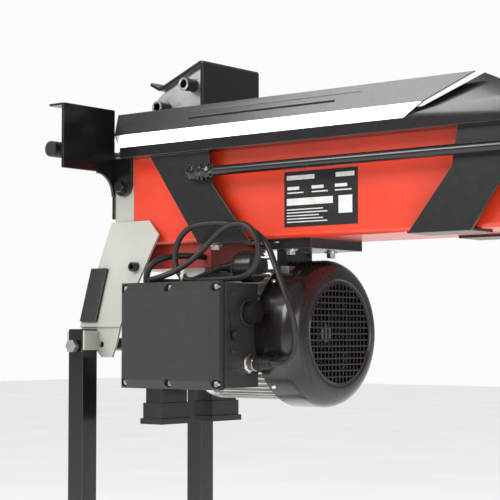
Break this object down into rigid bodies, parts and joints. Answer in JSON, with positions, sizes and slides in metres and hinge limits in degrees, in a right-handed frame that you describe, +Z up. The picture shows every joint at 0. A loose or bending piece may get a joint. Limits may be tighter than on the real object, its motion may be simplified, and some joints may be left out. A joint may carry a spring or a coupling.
{
  "type": "log splitter",
  "caption": "Electric horizontal log splitter on a wheeled stand: red box beam with pusher and wedge, folded log trays, motor with gear pump below, control box, hand lever.",
  "frame": {"origin": "on the floor, under the middle of the overall box", "axes": "+X along the beam from the ram end to the wedge, +Y to the far side away from the control box, +Z up"},
  "size_m": [1.036, 0.342, 0.905],
  "materials": {
    "red_paint": "semi-gloss orange-red powder coat",
    "dark_red_paint": "semi-gloss dark red powder coat",
    "black_paint": "glossy black powder coat",
    "satin_black_paint": "satin black powder coat",
    "grey_paint": "satin black sheet with a pale sheen",
    "bare_steel": "machined steel, lightly oiled",
    "zinc": "bright zinc plating",
    "rod_chrome": "ground hard chrome",
    "aluminium": "die-cast, fine sand texture",
    "bronze": "turned bronze",
    "winding": "varnished copper and laminations",
    "cover_paint": "brownish black paint, half gloss",
    "box_plastic": "fine moulded texture",
    "black_plastic": "moulded, slight sheen",
    "gloss_black_plastic": "moulded, glossy",
    "rubber": "matt black rubber",
    "tyre": "matt black solid rubber",
    "rim_plastic": "grey moulded rim"
  },
  "bodies": {
    "frame": {"main_beam": "red_paint", "head_block": "grey_paint", "beam_end_plate": "satin_black_paint", "cylinder_barrel": "bare_steel", "cylinder_gland": "bronze", "log_trays": "black_paint", "tray_brackets": "satin_black_paint", "tray_rods": "black_paint", "wedge": "satin_black_paint", "carry_handle": "black_paint", "wheel_legs": "black_paint", "wedge_legs": "black_paint", "leg_brackets": "grey_paint", "leg_straps": "satin_black_paint", "frame_bolts": "zinc", "cross_tubes": "black_paint", "foot_caps": "black_plastic", "wheel_axle": "zinc", "motor_housing": "aluminium", "motor_flange": "aluminium", "stator": "winding", "bearings": "bare_steel", "fan_cover": "cover_paint", "motor_hanger": "black_paint", "pump_body": "aluminium", "pump_cover": "aluminium", "oil_sump": "dark_red_paint", "pump_stand": "satin_black_paint", "foot_pads": "black_plastic", "lever_bracket": "satin_black_paint", "lever_guard": "black_paint", "box_base": "box_plastic", "box_lid": "box_plastic", "lid_screws": "zinc", "cable_gland": "zinc", "cord_boot": "rubber", "run_capacitor": "black_plastic", "motor_lead": "rubber", "mains_cord": "rubber", "mains_plug": "gloss_black_plastic"},
    "ram": {"piston": "bare_steel", "piston_rod": "rod_chrome", "ram_sled": "bare_steel", "pusher_frame": "bare_steel", "pusher_cover": "black_paint", "pusher_bolts": "black_plastic"},
    "lever": {"control_lever": "satin_black_paint", "lever_grip": "rubber"},
    "spool": {"valve_spool": "bare_steel"},
    "motor_rotor": {"rotor": "bare_steel", "motor_shaft": "bare_steel", "fan": "black_plastic", "drive_gear": "bare_steel"},
    "pump_idler": {"driven_gear": "bare_steel"},
    "start_button": {"start_button": "gloss_black_plastic"},
    "reset_button": {"reset_button": "black_plastic"},
    "wheel_near": {"tyre_near": "tyre", "rim_near": "rim_plastic"},
    "wheel_far": {"tyre_far": "tyre", "rim_far": "rim_plastic"}
  },
  "joints": [
    {"name": "ram_slide", "type": "slide", "parent": "frame", "child": "ram", "axis": [1, 0, 0], "range_m": [0, 0.36]},
    {"name": "lever_hinge", "type": "hinge", "parent": "frame", "child": "lever", "pos_m": [-0.442, -0.016, 0.733], "axis": [0, -1, 0], "range_deg": [0, 25], "stiffness_Nm_per_rad": 3, "springref_deg": -20.05},
    {"name": "spool_slide", "type": "slide", "parent": "frame", "child": "spool", "axis": [-1, 0, 0], "range_m": [0, 0.0098]},
    {"name": "motor_spin", "type": "hinge", "parent": "frame", "child": "motor_rotor", "pos_m": [-0.228, 0, 0.569], "axis": [1, 0, 0], "continuous": true},
    {"name": "pump_idler_spin", "type": "hinge", "parent": "frame", "child": "pump_idler", "pos_m": [-0.314, 0, 0.605], "axis": [1, 0, 0], "continuous": true},
    {"name": "start_button_press", "type": "slide", "parent": "frame", "child": "start_button", "axis": [-1, 0, 0], "range_m": [0, 0.004], "stiffness_N_per_m": 600, "springref_m": -0.003},
    {"name": "reset_button_press", "type": "slide", "parent": "frame", "child": "reset_button", "axis": [-1, 0, 0], "range_m": [0, 0.002], "stiffness_N_per_m": 600, "springref_m": -0.002},
    {"name": "wheel_near_spin", "type": "hinge", "parent": "frame", "child": "wheel_near", "pos_m": [-0.428, -0.147, 0.09], "axis": [0, 1, 0], "continuous": true},
    {"name": "wheel_far_spin", "type": "hinge", "parent": "frame", "child": "wheel_far", "pos_m": [-0.428, 0.147, 0.09], "axis": [0, 1, 0], "continuous": true}
  ],
  "couplings": [
    {"joint": "spool_slide", "follows": "lever_hinge", "m_per_rad": 0.022},
    {"joint": "pump_idler_spin", "follows": "motor_spin", "ratio": -1}
  ]
}
